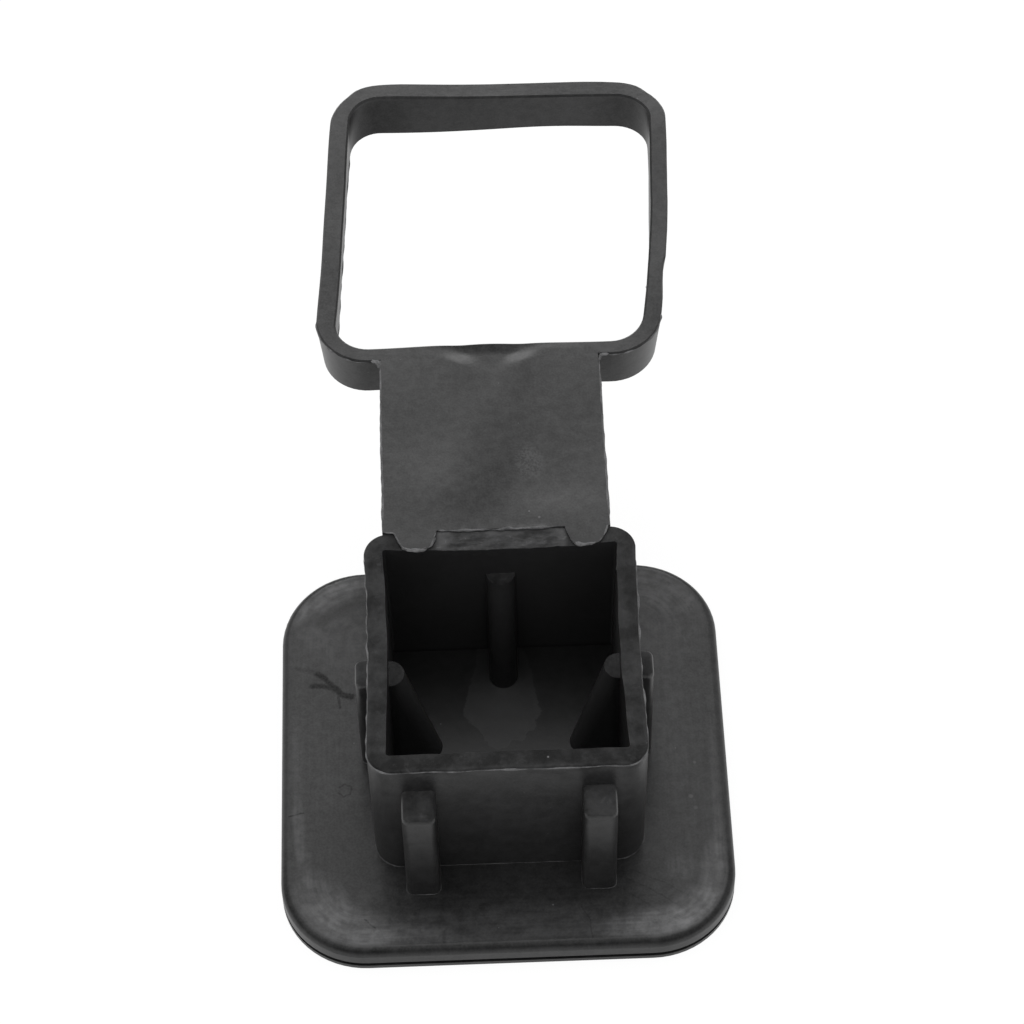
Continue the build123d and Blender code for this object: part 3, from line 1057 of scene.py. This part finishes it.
def makeFloor():
    look = stageLook
    half, low = look["size"] / 2, -look["drop"]
    mesh = bpy.data.meshes.new("floor")
    corners = [(-half, -half, low), (half, -half, low), (half, half, low), (-half, half, low)]
    mesh.from_pydata(corners, [], [(0, 1, 2, 3)])
    floor = addObject("floor", mesh)
    material = bpy.data.materials.new("paleFloor")
    tree = clearTree(material)
    diffuse = tree.nodes.new("ShaderNodeBsdfDiffuse")
    diffuse.inputs["Color"].default_value = (look["grey"], look["grey"], look["grey"], 1.0)
    glow = tree.nodes.new("ShaderNodeEmission")
    glow.inputs["Color"].default_value = (1, 1, 1, 1)
    rays = tree.nodes.new("ShaderNodeLightPath").outputs
    coords = tree.nodes.new("ShaderNodeTexCoord")
    aside = calc(tree, "ABSOLUTE", splitVector(tree, coords.outputs["Object"])[0])
    # Dimmer under the cover for gloss rays: a painted shadow on the floor
    mirrored = fade(tree, aside, *look["aside"], look["mirrored"], look["mirroredAside"])
    strength = choose(tree, rays["Is Glossy Ray"], mirrored, look["seen"])
    tree.links.new(strength, glow.inputs["Strength"])
    sight = [rays["Is Camera Ray"], rays["Is Glossy Ray"], rays["Is Transmission Ray"]]
    mix = tree.nodes.new("ShaderNodeMixShader")
    tree.links.new(times(tree, total(tree, sight, "MAXIMUM"), look["glow"]), mix.inputs["Fac"])
    tree.links.new(diffuse.outputs["BSDF"], mix.inputs[1])
    tree.links.new(glow.outputs["Emission"], mix.inputs[2])
    out = tree.nodes.new("ShaderNodeOutputMaterial")
    tree.links.new(mix.outputs["Shader"], out.inputs["Surface"])
    mesh.materials.append(material)
    return floor


worldLook = {
    "light": 0.95,
    "seen": 1.0,
    "mirrored": 0.69,         # what the rubber's gloss sees of the studio
    "panel": 4.2,             # a soft panel behind the object, seen only in its gloss
    "panelElevation": 34.0,
    "front": 0.50,            # the studio is darker behind the camera and low down at the back
    "low": 0.90,
}


def makeWorld():
    look = worldLook
    world = bpy.data.worlds.new("studio")
    bpy.context.scene.world = world
    tree = clearTree(world)
    heading = tree.nodes.new("ShaderNodeTexCoord").outputs["Generated"]
    x, y, z = splitVector(tree, heading)
    elevation = math.radians(look["panelElevation"])
    panelAt = (0.0, math.cos(elevation), math.sin(elevation))
    panel = fade(tree, vectorCalc(tree, "DISTANCE", heading, panelAt), 0.28, 0.10, 0.0, look["panel"])
    front = times(tree, fade(tree, y, -0.20, -0.80), fade(tree, z, 0.85, 0.55, 0.0, look["front"]))
    atBack = times(tree, fade(tree, y, 0.2, 0.7), fade(tree, calc(tree, "ABSOLUTE", x), 0.70, 0.40))
    low = times(tree, atBack, fade(tree, z, 0.45, 0.28, 0.0, look["low"]))
    lit = times(tree, minus(tree, 1.0, front), minus(tree, 1.0, low), look["mirrored"])
    rays = tree.nodes.new("ShaderNodeLightPath").outputs
    plain = fade(tree, rays["Is Camera Ray"], 0.0, 1.0, look["light"], look["seen"])
    strength = choose(tree, rays["Is Glossy Ray"], plus(tree, lit, panel), plain)
    sky = tree.nodes.new("ShaderNodeBackground")
    sky.inputs["Color"].default_value = (1, 1, 1, 1)
    tree.links.new(strength, sky.inputs["Strength"])
    out = tree.nodes.new("ShaderNodeOutputWorld")
    tree.links.new(sky.outputs["Background"], out.inputs["Surface"])


lampLook = {"place": (-0.25, 0.2, 1.1), "aim": (0.0, 0.04, 0.0), "size": 1.4, "power": 3.0}


def addLamp(name, look):
    data = bpy.data.lights.new(name, "AREA")
    data.shape = "SQUARE"
    data.size = look["size"]
    data.energy = look["power"]
    lamp = addObject(name, data)
    lamp.location = look["place"]
    lamp.rotation_euler = (Vector(look["aim"]) - Vector(look["place"])).to_track_quat("-Z", "Y").to_euler()


makeFloor()
makeWorld()
addLamp("overhead", lampLook)
print("stage ready")


# The camera, at the photograph's view

cameraLook = {
    "azimuth": -0.91,
    "elevation": 54.895,
    "roll": -1.276,
    "distance": 618.9 * mm,
    "aim": (3.271 * mm, 54.895 * mm, 0.0),
    "lens": 116.74,
}


def addCamera(look):
    azimuth = math.radians(look["azimuth"])
    elevation = math.radians(look["elevation"])
    roll = math.radians(look["roll"])
    level = math.cos(elevation)
    back = Vector((math.sin(azimuth) * level, -math.cos(azimuth) * level, math.sin(elevation)))
    right = (-back).cross(Vector((0, 0, 1))).normalized()
    up = right.cross(-back)
    imageRight = right * math.cos(roll) + up * math.sin(roll)
    imageUp = -right * math.sin(roll) + up * math.cos(roll)
    data = bpy.data.cameras.new("camera")
    data.lens = look["lens"]
    data.sensor_width = 36.0
    data.clip_start = 0.01
    camera = addObject("camera", data)
    turn = Matrix((imageRight, imageUp, back)).transposed().to_4x4()
    camera.matrix_world = Matrix.Translation(Vector(look["aim"]) + back * look["distance"]) @ turn
    bpy.context.scene.camera = camera


addCamera(cameraLook)
bpy.context.scene.view_settings.view_transform = "Standard"
print("camera ready")
